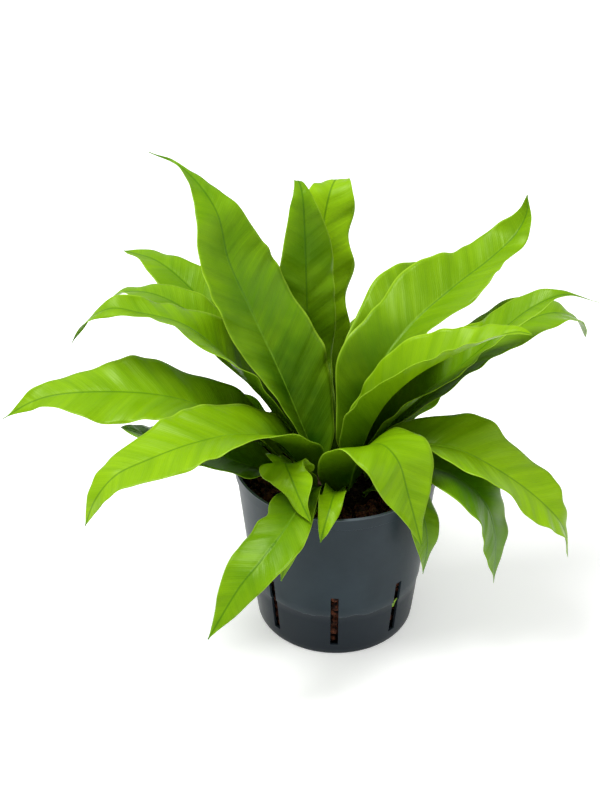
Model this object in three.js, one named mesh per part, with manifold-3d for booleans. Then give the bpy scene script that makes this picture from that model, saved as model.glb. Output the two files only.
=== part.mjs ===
// A Japanese bird's nest fern in a hydroculture pot: a rosette of waved strap-shaped fronds on a short
// crown, standing in expanded clay granules in a slotted plastic pot. Millimetres and degrees, +Z up.
// The origin is the middle of the pot's underside. Azimuth 0 points along +X and 90 along +Y.
import * as THREE from "three";
import Module from "manifold-3d";
import { mergeVertices } from "three/addons/utils/BufferGeometryUtils.js";

// The pot, 13 cm wide and 12 cm high.
const POT_HEIGHT = 120;
const RIM_RADIUS = 65;
const RIM_BAND_HEIGHT = 9;
const RIM_BAND_OVERHANG = 0.9;
const BASE_RADIUS = 51.5;
const WALL = 1.6;
const STEP_HEIGHT = 35;
const STEP_DEPTH = 0.6;
const FLOOR_TOP = 3.2;
const CHANNEL_HEIGHT = 1.3;
const CHANNEL_INNER = 14;
const CHANNEL_OUTER = 44;
const POT_SIDES = 48;

// The drainage slots in the wall and the floor. One wall slot faces the front.
const SLOT_COUNT = 8;
const SLOT_WIDTH = 5;
const SLOT_BOTTOM = 9;
const SLOT_TOP = 52;
const FLOOR_SLOT_WIDTH = 4;
const FLOOR_SLOT_INNER = 19;
const FLOOR_SLOT_OUTER = 39;
const FRONT = -90;

// The clay granules. Their tops are domes on a ring pattern of centres, each moved a little by a seeded
// draw.
const FIT_GAP = 0.3;
const CLAY_LEVEL = 103;
const GRANULE_SPACING = 10.5;
const GRANULE_HEIGHT = 4.5;
const CLAY_RINGS = 8;
const CLAY_SIDES = 60;

// The crown, a low dome that holds the stalks in plain sockets.
const CROWN_RADIUS = 27;
const CROWN_FOOT = 90;
const CROWN_SHOULDER = 104;
const CROWN_TOP = 112;
const CROWN_SIDES = 36;
const ROOT_HEIGHT = 98;
const SOCKET_GAP = 0.35;
const SOCKET_STATIONS = 4;

// What all fronds share.
const FROND_STATIONS = 20;
const ACROSS = [-1, -0.5, 0, 0.5, 1];
const STALK_HALF_WIDTH = 2.2;
const STALK_THICKNESS = 2.2;
const STALK_SHARE = 0.16;
const BLADE_THICKNESS = 0.8;
const KEEL_DEPTH = 0.7;
const TIP_HALF_WIDTH = 0.5;
const BLADE_START = 0.3;
const STEEPEST_FOLD = 0.6;
const BASE_SWELL = 0.8;
const TIP_SWELL = 1.1;
const SCALLOP = 0.04;
const WAVE_START = 0.05;
const WAVE_FULL = 0.4;
const WAVE_END = 0.88;
const LEFT_WAVE_LEAD = 0.37;
const GAIN_FULL = 0.25;
const GAIN_END = 0.75;

// Every frond starts on the crown at root, its azimuth and distance from the axis, and grows towards
// heading. path is its midrib: distance out from the root, height above the table, and, where given,
// distance to the right of the heading. width is its widest measure, at belly of its length. start is the
// share of the length where the blade has left its stalk, and the swells, over 1, draw its halves in.
// fold lifts both halves from flat, at root, middle and tip. roll turns the blade about its midrib, right
// edge up, at root and tip. waves are the margins' count, height and phase in turns, scallop is the share
// by which they also run in and out, and gains widen the left and the right half near the root.
const FRONDS = [
  // The tall fronds in the middle.
  { name: "frond_tall_left", root: [229, 9], heading: 138, width: 54, belly: 0.54,
    start: 0.14, baseSwell: 0.5, tipSwell: 2.6, fold: [58, 14, 10], roll: [-8, 12],
    waves: [3.2, 2.5, 0.1], gains: [0, 0.32], scallop: 0.04,
    path: [[17, 130], [38, 172, -3], [61, 209, -5], [79, 236, -5], [92, 264, -2], [122, 281],
      [153, 282]] },
  { name: "frond_upright", root: [105, 6], heading: 108, width: 37, belly: 0.62,
    start: 0.12, baseSwell: 0.6, tipSwell: 1.8, fold: [50, 12, 5], roll: [0, 0], waves: [3.4, 2, 0.5],
    path: [[12, 118], [38, 137], [54, 156], [60, 182], [63, 212], [67, 245], [72, 265], [81, 270],
      [91, 258]] },
  { name: "frond_upright_back", root: [80, 16], heading: 96, width: 40, belly: 0.66,
    start: 0.12, baseSwell: 0.6, tipSwell: 0.9, fold: [50, 10, 0], roll: [0, 0],
    waves: [5, 3, 0.9], scallop: 0.12,
    path: [[12, 116], [46, 140, -3], [62, 168, -7], [71, 202, -8], [77, 232, -6], [86, 252, -1],
      [99, 255, 4], [114, 242, 7]] },
  { name: "frond_tall_right", root: [35, 11], heading: 40, width: 54, belly: 0.5,
    start: 0.12, baseSwell: 0.6, tipSwell: 0.9, fold: [58, 28, 20], roll: [-12, 0],
    waves: [3.6, 3, 0.6], scallop: 0.08,
    path: [[9, 135], [22, 174], [46, 195], [82, 210], [114, 220], [134, 230], [142, 242], [141, 255]] },
  { name: "frond_right_back", root: [62, 19], heading: 58, width: 48, belly: 0.6,
    start: 0.2, baseSwell: 0.7, fold: [60, 18, 10], roll: [-20, -12],
    waves: [3.3, 2, 0.3], scallop: 0.06,
    path: [[8, 126], [19, 161, 2], [40, 191, 5], [72, 206, 7], [104, 198, 7]] },
  // The left side, from back to front.
  { name: "frond_left_high", root: [128, 17], heading: 142, width: 42, belly: 0.55,
    tipSwell: 0.9, fold: [60, 18, 10], roll: [16, 0], waves: [3.2, 2, 0.0], scallop: 0.08,
    path: [[16, 119], [44, 146], [78, 173], [110, 194], [137, 203], [168, 200]] },
  { name: "frond_left_thin", root: [148, 21], heading: 158, width: 32, belly: 0.6,
    fold: [60, 18, 10], roll: [0, 0], waves: [3, 1.5, 0.2],
    path: [[16, 130], [44, 169], [78, 197], [104, 206], [126, 203], [142, 191]] },
  { name: "frond_left_arched", root: [164, 20], heading: 177, width: 40, belly: 0.52,
    baseSwell: 0.8, tipSwell: 1.8, fold: [60, 20, 10], roll: [-12, 0],
    waves: [3.6, 3, 0.4], gains: [0.35, 0], scallop: 0.06,
    path: [[9, 123], [22, 151], [41, 177], [53, 192], [75, 210], [102, 217], [118, 219], [132, 211],
      [146, 190]] },
  { name: "frond_left_broad", root: [178, 22], heading: 187, width: 54, belly: 0.58,
    tipSwell: 1.5, fold: [55, 8, 5], roll: [4, 16], waves: [3.4, 3, 0.1], scallop: 0.07,
    path: [[14, 118], [36, 144], [65, 163], [91, 172], [128, 176], [150, 175], [164, 171], [182, 160]] },
  { name: "frond_left_front", root: [225, 21], heading: 210, width: 54, belly: 0.48,
    start: 0.2, baseSwell: 0.7, tipSwell: 1, fold: [60, 14, 0], roll: [-18, 10],
    waves: [2.6, 1.5, 0.7], gains: [0.1, 0.08],
    path: [[9, 128], [26, 152], [48, 164], [80, 168], [110, 166], [130, 162], [143, 150], [151, 133]] },
  { name: "frond_left_under", root: [202, 22], heading: 194, width: 48, belly: 0.55,
    tipSwell: 0.8, fold: [50, 10, 0], roll: [0, 0], waves: [2.8, 2, 0.3],
    path: [[12, 112], [40, 127], [66, 141], [92, 154], [112, 165]] },
  // The low fronds at the front, from left to right.
  { name: "frond_front_left", root: [250, 19], heading: 248, width: 35, belly: 0.52,
    baseSwell: 1.6, fold: [45, 8, 5], roll: [0, 0],
    waves: [2.6, 2, 0.2], gains: [-0.2, 0], scallop: 0.06,
    path: [[10, 115], [20, 122], [46, 125, -1], [68, 122, 0], [88, 114, 5], [100, 103, 12],
      [120, 74, 24]] },
  { name: "frond_front_left_low", root: [256, 23], heading: 250, width: 15, belly: 0.6,
    fold: [40, 5, 5], roll: [0, 0], waves: [2, 1, 0.2],
    path: [[5, 105], [20, 114], [43, 121.5], [56, 111, 2], [62, 84, 6]] },
  { name: "frond_lobed", root: [233, 24], heading: 235, width: 28, belly: 0.55,
    fold: [45, 12, 5], roll: [0, 0], waves: [3, 2, 0.2], scallop: 0.25,
    path: [[7, 117], [17, 135, 4], [27, 144, 1], [35, 143, -9], [42, 136, -21], [47, 127, -33]] },
  { name: "frond_front_curled", root: [272, 21], heading: 265, width: 16, belly: 0.6,
    start: 0.12, baseSwell: 0.6, fold: [40, 20, 20], roll: [0, 0], waves: [3, 2, 0.2],
    path: [[8, 114], [28, 126, 0], [43, 127, 1], [51, 121, 3], [54, 111, 5]] },
  { name: "frond_front_right", root: [290, 18], heading: -54, width: 54, belly: 0.46,
    start: 0.12, baseSwell: 0.6, fold: [28, 8, 5], roll: [0, 0],
    waves: [2.4, 2, 0.1], gains: [-0.3, 0.1], scallop: 0.03,
    path: [[8, 130], [20, 152], [37, 162.5], [51, 159], [61, 142], [76, 113]] },
  { name: "frond_right_drooping", root: [-50, 22], heading: -42, width: 22, belly: 0.6,
    fold: [45, 5, 0], roll: [0, 0], waves: [2, 1.5, 0.4],
    path: [[10, 112], [24, 120], [43, 125], [52, 113], [56, 95], [54, 70]] },
  { name: "frond_right_low", root: [-29, 22], heading: -27, width: 42, belly: 0.55,
    start: 0.2, baseSwell: 0.7, fold: [50, 12, 0], roll: [0, 0], waves: [2.8, 2, 0.5],
    path: [[16, 119], [40, 134], [62, 133], [79, 121], [87, 100], [89, 62]] },
  { name: "frond_right_broad", root: [-18, 20], heading: -19, width: 52, belly: 0.55,
    start: 0.12, baseSwell: 0.6, tipSwell: 1.05, fold: [58, 20, 0], roll: [0, 0],
    waves: [3.4, 3, 0.2], scallop: 0.06,
    path: [[12, 125], [31, 141], [55, 145], [81, 137], [109, 121], [126, 104], [131, 82]] },
  // The right side, from front to back.
  { name: "frond_right_pale", root: [-48, 10], heading: -10, width: 44, belly: 0.5,
    start: 0.24, baseSwell: 0.7, tipSwell: 0.8, fold: [65, 50, 15], roll: [0, 0], waves: [2, 1.5, 0.6],
    path: [[6, 124], [14, 151], [25, 173], [42, 193], [61, 208], [84, 223], [98, 229], [107, 228]] },
  { name: "frond_right_long", root: [12, 13], heading: 5, width: 46, belly: 0.5,
    tipSwell: 1.5, fold: [60, 25, 10], roll: [0, 0], waves: [3.4, 1.5, 0.1], gains: [0, -0.15],
    path: [[8, 124], [19, 142], [37, 161], [61, 183], [75, 197], [87, 210], [103, 224], [121, 232],
      [143, 226]] },
  { name: "frond_right_hooked", root: [24, 21], heading: 19, width: 48, belly: 0.55,
    tipSwell: 0.75, fold: [55, 22, 5], roll: [0, 0], waves: [3, 1.5, 0.6],
    path: [[16, 128], [41, 154], [61, 171], [87, 187], [107, 197], [123, 198], [138, 190], [145, 176]] },
  // The back, hidden from the front.
  { name: "frond_back_left", root: [118, 23], heading: 128, width: 34, belly: 0.55,
    fold: [55, 15, 5], roll: [0, 0], waves: [3, 2, 0.3],
    path: [[5, 107], [12, 112], [36, 129], [66, 148], [98, 146]] },
  { name: "frond_back", root: [102, 22], heading: 108, width: 32, belly: 0.55,
    fold: [55, 15, 5], roll: [0, 0], waves: [3, 2, 0.8],
    path: [[10, 110], [44, 124], [84, 142], [120, 138]] },
  { name: "frond_back_right", root: [82, 22], heading: 80, width: 34, belly: 0.55,
    fold: [55, 15, 5], roll: [0, 0], waves: [3, 2, 0.1],
    path: [[10, 112], [40, 128], [76, 150], [112, 148]] },
  { name: "frond_back_low_left", root: [157, 24], heading: 152, width: 32, belly: 0.55,
    fold: [50, 10, 0], roll: [0, 0], waves: [3, 2, 0.5],
    path: [[4, 105], [12, 112], [38, 126], [66, 136], [90, 130]] },
  { name: "frond_back_low_right", root: [42, 22], heading: 42, width: 36, belly: 0.55,
    fold: [50, 10, 0], roll: [0, 0], waves: [3, 2, 0.9],
    path: [[12, 114], [34, 132], [58, 142], [82, 136]] },
];

const radians = THREE.MathUtils.degToRad;
const smooth = (a, b, x) => THREE.MathUtils.smoothstep(x, a, b);
const wasm = await Module();
wasm.setup();

// A closed geometry as a solid for cutting.
function solidOf(geometry) {
  const bare = geometry.clone();
  bare.deleteAttribute("normal");
  bare.deleteAttribute("uv");
  const merged = mergeVertices(bare, 1e-4);
  return new wasm.Manifold(
    new wasm.Mesh({
      numProp: 3,
      vertProperties: merged.attributes.position.array,
      triVerts: new Uint32Array(merged.index.array),
    }),
  );
}

// A solid back as a geometry with flat faces.
function geometryOf(solid) {
  const mesh = solid.getMesh();
  const geometry = new THREE.BufferGeometry();
  geometry.setAttribute("position", new THREE.BufferAttribute(new Float32Array(mesh.vertProperties), 3));
  geometry.setIndex(new THREE.BufferAttribute(new Uint32Array(mesh.triVerts), 1));
  geometry.computeVertexNormals();
  return geometry;
}

// A lathed body standing along +Z, from [radius, height] points listed up the outside.
function lathe(profile, sides) {
  const points = profile.map(([r, z]) => new THREE.Vector2(r, z));
  return new THREE.LatheGeometry(points, sides).rotateX(Math.PI / 2);
}

// The wall's outer radius at a height, without the step and the rim band.
function outerRadius(z) {
  return THREE.MathUtils.lerp(BASE_RADIUS, RIM_RADIUS - RIM_BAND_OVERHANG, z / POT_HEIGHT);
}

// The wall's inner radius at a height.
function innerRadius(z) {
  const low = BASE_RADIUS - RIM_BAND_OVERHANG - STEP_DEPTH - WALL;
  return THREE.MathUtils.lerp(low, RIM_RADIUS - WALL, (z - FLOOR_TOP) / (POT_HEIGHT - FLOOR_TOP));
}

// The pot: a tapered wall with a rim band and a step, a floor raised between two feet, and slots cut
// through the wall and the floor.
function potGeometry() {
  const bandBottom = POT_HEIGHT - RIM_BAND_HEIGHT;
  const body = lathe(
    [
      [0, 0],
      [CHANNEL_INNER, 0],
      [CHANNEL_INNER + 1, CHANNEL_HEIGHT],
      [CHANNEL_OUTER - 1, CHANNEL_HEIGHT],
      [CHANNEL_OUTER, 0],
      [outerRadius(0) - STEP_DEPTH - 1.2, 0],
      [outerRadius(0) - STEP_DEPTH, 1.4],
      [outerRadius(STEP_HEIGHT) - STEP_DEPTH, STEP_HEIGHT],
      [outerRadius(STEP_HEIGHT), STEP_HEIGHT + STEP_DEPTH],
      [outerRadius(bandBottom), bandBottom],
      [outerRadius(bandBottom) + RIM_BAND_OVERHANG, bandBottom + RIM_BAND_OVERHANG],
      [RIM_RADIUS, POT_HEIGHT - 0.8],
      [RIM_RADIUS - 0.8, POT_HEIGHT],
      [RIM_RADIUS - WALL, POT_HEIGHT],
      [innerRadius(FLOOR_TOP), FLOOR_TOP],
      [0, FLOOR_TOP],
    ],
    POT_SIDES,
  );
  let pot = solidOf(body);
  const slotHeight = SLOT_TOP - SLOT_BOTTOM;
  const floorSlotLength = FLOOR_SLOT_OUTER - FLOOR_SLOT_INNER;
  for (let i = 0; i < SLOT_COUNT; i++) {
    const turn = radians(FRONT + (360 / SLOT_COUNT) * i);
    const wallSlot = new THREE.BoxGeometry(12, SLOT_WIDTH, slotHeight)
      .translate(outerRadius((SLOT_TOP + SLOT_BOTTOM) / 2), 0, (SLOT_TOP + SLOT_BOTTOM) / 2)
      .rotateZ(turn);
    const floorSlot = new THREE.BoxGeometry(floorSlotLength, FLOOR_SLOT_WIDTH, 4 * FLOOR_TOP)
      .translate((FLOOR_SLOT_INNER + FLOOR_SLOT_OUTER) / 2, 0, 0)
      .rotateZ(turn + Math.PI / SLOT_COUNT);
    pot = pot.subtract(solidOf(wallSlot)).subtract(solidOf(floorSlot));
  }
  return geometryOf(pot);
}

// Centres of the granules on rings between two radii, one granule spacing apart.
function granuleCentres(inner, outer) {
  const draw = seeded(7);
  const centres = [];
  for (let r = inner; r <= outer; r += GRANULE_SPACING * 0.85) {
    const count = Math.round((2 * Math.PI * r) / GRANULE_SPACING);
    for (let i = 0; i < count; i++) {
      const angle = ((i + 0.6 * draw()) / count) * 2 * Math.PI;
      const radius = r + 0.25 * GRANULE_SPACING * (draw() - 0.5);
      centres.push([radius * Math.cos(angle), radius * Math.sin(angle), 1.6 * (draw() - 0.5)]);
    }
  }
  return centres;
}

// A repeatable draw between 0 and 1.
function seeded(seed) {
  let state = seed;
  return () => {
    state = (state * 16807) % 2147483647;
    return state / 2147483647;
  };
}

// The clay: it fills the pot, leaves a recess for the crown, and its top carries the granules' domes.
// A point's height is the highest dome over it, a dome being a parabola round its granule's centre.
function clayGeometry() {
  const recess = CROWN_RADIUS + FIT_GAP;
  const flat = Math.cos(Math.PI / POT_SIDES);
  const edge = innerRadius(CLAY_LEVEL - 1.4 * GRANULE_HEIGHT) * flat - FIT_GAP;
  const centres = granuleCentres(recess + 4, edge);
  const domeHeight = (x, y) =>
    Math.max(
      ...centres.map(([cx, cy, lift]) => {
        const share = Math.hypot(x - cx, y - cy) / (0.62 * GRANULE_SPACING);
        return lift + GRANULE_HEIGHT * (1 - share * share);
      }),
      -0.3 * GRANULE_HEIGHT,
    );
  const rings = [
    { r: innerRadius(FLOOR_TOP) * flat - FIT_GAP, z: FLOOR_TOP + FIT_GAP },
    ...Array.from({ length: CLAY_RINGS + 1 }, (_, k) => ({
      r: THREE.MathUtils.lerp(edge, recess, k / CLAY_RINGS),
      domed: true,
    })),
    { r: recess, z: CROWN_FOOT - FIT_GAP },
  ];
  const points = [];
  for (const ring of rings) {
    for (let i = 0; i < CLAY_SIDES; i++) {
      const angle = (i / CLAY_SIDES) * 2 * Math.PI;
      const x = ring.r * Math.cos(angle);
      const y = ring.r * Math.sin(angle);
      points.push(x, y, ring.domed ? CLAY_LEVEL - GRANULE_HEIGHT + domeHeight(x, y) : ring.z);
    }
  }
  const lowPole = points.length / 3;
  points.push(0, 0, FLOOR_TOP + FIT_GAP, 0, 0, CROWN_FOOT - FIT_GAP);
  const faces = [];
  for (let i = 0; i < CLAY_SIDES; i++) {
    const next = (i + 1) % CLAY_SIDES;
    const last = (rings.length - 1) * CLAY_SIDES;
    faces.push(lowPole, next, i, lowPole + 1, last + i, last + next);
    for (let k = 0; k < rings.length - 1; k++) {
      const a = k * CLAY_SIDES;
      const b = a + CLAY_SIDES;
      faces.push(a + i, a + next, b + next, a + i, b + next, b + i);
    }
  }
  return indexed(points, faces);
}

// A geometry from a list of coordinates and a list of vertex numbers.
function indexed(points, faces) {
  const geometry = new THREE.BufferGeometry();
  geometry.setAttribute("position", new THREE.Float32BufferAttribute(points, 3));
  geometry.setIndex(faces);
  geometry.computeVertexNormals();
  return geometry;
}

// The midrib as a smooth curve through the root and the path's points.
function midribOf(frond) {
  const [azimuth, distance] = frond.root;
  const root = [distance * Math.cos(radians(azimuth)), distance * Math.sin(radians(azimuth))];
  const out = [Math.cos(radians(frond.heading)), Math.sin(radians(frond.heading))];
  const right = [out[1], -out[0]];
  const place = ([along, height, aside = 0]) =>
    new THREE.Vector3(
      root[0] + out[0] * along + right[0] * aside,
      root[1] + out[1] * along + right[1] * aside,
      height,
    );
  const stops = [[0, ROOT_HEIGHT], ...frond.path].map(place);
  const curve = new THREE.CatmullRomCurve3(stops, false, "centripetal");
  curve.arcLengthDivisions = 400;
  return { curve, right: new THREE.Vector3(right[0], right[1], 0) };
}

// A blade's half width at share t of its length: a sine hump with its peak at the belly, on a stalk.
function halfWidth(frond, t) {
  const hump = Math.sin(Math.PI * t ** (Math.log(0.5) / Math.log(frond.belly)));
  const swell = t < frond.belly ? frond.baseSwell ?? BASE_SWELL : frond.tipSwell ?? TIP_SWELL;
  const share = Math.max(hump, 0) ** swell * smooth(0, frond.start ?? BLADE_START, t);
  const stalk = STALK_HALF_WIDTH * (1 - t);
  return Math.max(TIP_HALF_WIDTH, stalk + (frond.width / 2 - stalk) * share);
}

// A value that runs from root through middle to tip on a parabola.
function alongLength([root, middle, tip], t) {
  return root * (1 - t) * (1 - 2 * t) + middle * 4 * t * (1 - t) + tip * t * (2 * t - 1);
}

// A frond: at each station a folded, rolled and waved cross section on the midrib, with its underside.
// The fold stays low enough for the thickness that the two halves' upper faces don't meet.
// grow widens every section by that much, for cutting a socket.
function frondGeometry(frond, stations = FROND_STATIONS, grow = 0) {
  const { curve, right } = midribOf(frond);
  const columns = ACROSS.length;
  const points = [];
  for (let i = 0; i <= stations; i++) {
    const t = i / FROND_STATIONS;
    const at = curve.getPointAt(t);
    const along = curve.getTangentAt(t);
    if (grow && i === 0) at.addScaledVector(along, -grow);
    const side = right.clone().addScaledVector(along, -right.dot(along)).normalize();
    const up = side.clone().cross(along);
    const roll = radians(THREE.MathUtils.lerp(frond.roll[0], frond.roll[1], t));
    const rolledSide = side.clone().multiplyScalar(Math.cos(roll)).addScaledVector(up, Math.sin(roll));
    const rolledUp = up.clone().multiplyScalar(Math.cos(roll)).addScaledVector(side, -Math.sin(roll));
    const bare = halfWidth(frond, t);
    const bareThickness = THREE.MathUtils.lerp(STALK_THICKNESS, BLADE_THICKNESS, smooth(0, STALK_SHARE, t));
    const steepest = Math.atan((STEEPEST_FOLD * bare) / bareThickness);
    const fold = Math.min(radians(alongLength(frond.fold, t)), steepest);
    const half = bare + grow;
    const thickness = bareThickness + 2 * grow;
    const waveFade = smooth(WAVE_START, WAVE_FULL, t) * (1 - smooth(WAVE_END, 1, t));
    const gainFade = smooth(WAVE_START, GAIN_FULL, t) * (1 - smooth(GAIN_FULL, GAIN_END, t));
    const [count, height, phase] = frond.waves;
    const [leftGain, rightGain] = frond.gains ?? [0, 0];
    const rows = [[], []];
    for (const u of ACROSS) {
      const turns = count * t + phase + (u < 0 ? LEFT_WAVE_LEAD : 0);
      const wave = height * waveFade * u * u * Math.sin(2 * Math.PI * turns);
      const scallop = (frond.scallop ?? SCALLOP) * Math.cos(2 * Math.PI * turns);
      const reach = half * (1 + gainFade * (u < 0 ? leftGain : rightGain) + waveFade * scallop);
      const surface = at
        .clone()
        .addScaledVector(rolledSide, reach * u * Math.cos(fold))
        .addScaledVector(rolledUp, reach * Math.abs(u) * Math.sin(fold) + wave);
      const normal = rolledUp
        .clone()
        .multiplyScalar(u ? Math.cos(fold) : 1)
        .addScaledVector(rolledSide, -Math.sign(u) * Math.sin(fold));
      const keel = u ? 0 : KEEL_DEPTH * (1 - t);
      rows[0].push(surface.clone().addScaledVector(normal, thickness / 2));
      rows[1].push(surface.clone().addScaledVector(normal, -thickness / 2 - keel));
    }
    for (const p of [...rows[0], ...rows[1]]) points.push(p.x, p.y, p.z);
  }
  const ring = 2 * columns;
  const faces = [];
  const quad = (a, b, c, d) => faces.push(a, b, c, a, c, d);
  for (let i = 0; i < stations; i++) {
    const a = i * ring;
    const b = a + ring;
    for (let j = 0; j < columns - 1; j++) {
      quad(a + j, a + j + 1, b + j + 1, b + j);
      faces.push(a + columns + j, b + columns + j + 1, a + columns + j + 1);
      faces.push(a + columns + j, b + columns + j, b + columns + j + 1);
    }
    quad(a, b, b + columns, a + columns);
    quad(a + columns - 1, a + ring - 1, b + ring - 1, b + columns - 1);
  }
  const end = stations * ring;
  for (let j = 0; j < columns - 1; j++) {
    quad(j, columns + j, columns + j + 1, j + 1);
    quad(end + j, end + j + 1, end + columns + j + 1, end + columns + j);
  }
  return indexed(points, faces);
}

// The crown: a dome with a socket for every stalk. A sliver cut loose between two sockets is dropped.
function crownGeometry() {
  let crown = solidOf(
    lathe(
      [
        [0, CROWN_FOOT],
        [CROWN_RADIUS - 2, CROWN_FOOT],
        [CROWN_RADIUS, CROWN_FOOT + 3],
        [CROWN_RADIUS, CROWN_SHOULDER],
        [0.8 * CROWN_RADIUS, THREE.MathUtils.lerp(CROWN_SHOULDER, CROWN_TOP, 0.55)],
        [0.45 * CROWN_RADIUS, THREE.MathUtils.lerp(CROWN_SHOULDER, CROWN_TOP, 0.9)],
        [0, CROWN_TOP],
      ],
      CROWN_SIDES,
    ),
  );
  for (const frond of FRONDS) {
    crown = crown.subtract(solidOf(frondGeometry(frond, SOCKET_STATIONS, SOCKET_GAP)));
  }
  const pieces = crown.decompose().sort((a, b) => b.volume() - a.volume());
  return geometryOf(pieces[0]);
}

const MATERIALS = {
  pot: new THREE.MeshStandardMaterial({ color: 0x3f474f, roughness: 0.45, metalness: 0 }),
  clay: new THREE.MeshStandardMaterial({ color: 0x4a2317, roughness: 0.95, metalness: 0 }),
  crown: new THREE.MeshStandardMaterial({ color: 0x2c1c12, roughness: 0.95, metalness: 0 }),
  frond: new THREE.MeshStandardMaterial({ color: 0x5f9a08, roughness: 0.4, metalness: 0 }),
};

const fern = new THREE.Group();
function add(name, geometry, material) {
  const mesh = new THREE.Mesh(geometry, material);
  mesh.name = name;
  fern.add(mesh);
}

add("pot", potGeometry(), MATERIALS.pot);
add("clay_granules", clayGeometry(), MATERIALS.clay);
add("crown", crownGeometry(), MATERIALS.crown);
for (const frond of FRONDS) add(frond.name, frondGeometry(frond), MATERIALS.frond);

export default fern;
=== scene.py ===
"""A Japanese bird's nest fern in its slotted hydroculture pot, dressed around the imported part. Metres and
degrees, +Z up. Azimuth 0 points along +X and 90 along +Y."""

import math

import bpy
import numpy as np
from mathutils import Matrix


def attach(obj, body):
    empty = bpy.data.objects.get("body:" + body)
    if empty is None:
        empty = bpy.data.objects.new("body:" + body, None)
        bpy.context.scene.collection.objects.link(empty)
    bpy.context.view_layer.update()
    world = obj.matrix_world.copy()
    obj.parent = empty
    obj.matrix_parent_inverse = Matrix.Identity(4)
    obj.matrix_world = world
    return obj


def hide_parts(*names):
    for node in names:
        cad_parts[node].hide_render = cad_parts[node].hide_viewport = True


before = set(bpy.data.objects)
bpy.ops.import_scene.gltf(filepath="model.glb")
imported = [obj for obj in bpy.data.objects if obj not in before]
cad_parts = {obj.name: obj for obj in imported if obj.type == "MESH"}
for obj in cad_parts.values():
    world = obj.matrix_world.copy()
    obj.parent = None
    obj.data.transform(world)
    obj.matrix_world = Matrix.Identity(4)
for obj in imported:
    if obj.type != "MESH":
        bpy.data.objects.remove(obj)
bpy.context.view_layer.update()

# The camera stands in front of the pot and looks down on the rosette, as the photographer did.
# Its lens is long, so the pot's rim and foot stay nearly parallel.
CAMERA_PLACE = (0.0, -0.850, 0.742)
CAMERA_DOWN = 34.28
CAMERA_TURN = 1.56
CAMERA_LENS = 75.5

camera = bpy.data.objects.new("camera", bpy.data.cameras.new("camera"))
camera.location = CAMERA_PLACE
camera.rotation_euler = (math.radians(90 - CAMERA_DOWN), 0, math.radians(CAMERA_TURN))
camera.data.lens = CAMERA_LENS
camera.data.sensor_width = 36
camera.data.clip_start = 0.05
bpy.context.scene.collection.objects.link(camera)
bpy.context.scene.camera = camera

# The studio: a pale floor that runs far back and is faintly lit, a white room, one large soft light overhead
# on the left and a weaker one on the right. Colours are shown as they are, without a film curve.
FLOOR_COLOUR = (0.93, 0.93, 0.93, 1)
ROOM_STRENGTH = 0.62
FLOOR_GLOW = 0.30
FLOOR_SIZE = 14.0
LIGHT_AIM = (0, 0, 0.15)
KEY_PLACE = (-0.60, -0.10, 1.60)
KEY_SIZE = 0.8
KEY_POWER = 34
FILL_PLACE = (1.3, -0.4, 0.9)
FILL_SIZE = 1.0
FILL_POWER = 5

bpy.context.scene.view_settings.view_transform = "Standard"
room = bpy.data.worlds.new("white_room")
room.use_nodes = True
room.node_tree.nodes["Background"].inputs["Color"].default_value = (1, 1, 1, 1)
room.node_tree.nodes["Background"].inputs["Strength"].default_value = ROOM_STRENGTH
bpy.context.scene.world = room


def new_material(name):
    """A material with a Principled shader: returns the material, its node tree and the shader."""
    material = bpy.data.materials.new(name)
    material.use_nodes = True
    return material, material.node_tree, material.node_tree.nodes["Principled BSDF"]


def soft_light(name, place, aim, size, power):
    """A square area light at place that faces aim."""
    lamp = bpy.data.lights.new(name, "AREA")
    lamp.size = size
    lamp.energy = power
    light = bpy.data.objects.new(name, lamp)
    light.location = place
    direction = np.subtract(aim, place)
    flat = math.hypot(direction[0], direction[1])
    light.rotation_euler = (math.atan2(flat, -direction[2]), 0, math.atan2(-direction[0], direction[1]))
    bpy.context.scene.collection.objects.link(light)


soft_light("key_light", KEY_PLACE, LIGHT_AIM, KEY_SIZE, KEY_POWER)
soft_light("fill_light", FILL_PLACE, LIGHT_AIM, FILL_SIZE, FILL_POWER)

half_floor = FLOOR_SIZE / 2
floor_mesh = bpy.data.meshes.new("floor")
floor_corners = [(-half_floor, -half_floor, 0), (half_floor, -half_floor, 0)]
floor_corners += [(half_floor, half_floor, 0), (-half_floor, half_floor, 0)]
floor_mesh.from_pydata(floor_corners, [], [(0, 1, 2, 3)])
floor = bpy.data.objects.new("floor", floor_mesh)
floor_paint, _, floor_shader = new_material("floor_paint")
floor_shader.inputs["Base Color"].default_value = FLOOR_COLOUR
floor_shader.inputs["Roughness"].default_value = 0.9
floor_shader.inputs["Emission Color"].default_value = (1, 1, 1, 1)
floor_shader.inputs["Emission Strength"].default_value = FLOOR_GLOW
floor_mesh.materials.append(floor_paint)
bpy.context.scene.collection.objects.link(floor)

# The pot is one moulded shell of slate-blue polypropylene. It tapers, has a thicker rim band and a narrower
# lower zone, and is slotted for drainage: eight slots in the wall and eight in the floor between them.
POT_HEIGHT = 0.120
RIM_RADIUS = 0.065
BAND_HEIGHT = 0.009
BAND_OVERHANG = 0.0009
BASE_RADIUS = 0.0515
POT_WALL = 0.0016
STEP_HEIGHT = 0.035
STEP_DEPTH = 0.0006
SLOT_COUNT = 8
SLOT_FRONT = -90
WALL_SLOT = {"width": 0.005, "low": 0.009, "high": 0.052}
FLOOR_SLOT = {"width": 0.004, "near": 0.019, "far": 0.039}
UNDERSIDE_RECESS = (0.0006, 0.0013)
CENTRE_PAD = 0.0135
FOOT_RING = 0.0445
FOOT_ROUNDING = 0.0014
SECTOR_STEPS = (5, 2, 5)
NARROW = 1e-6


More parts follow.
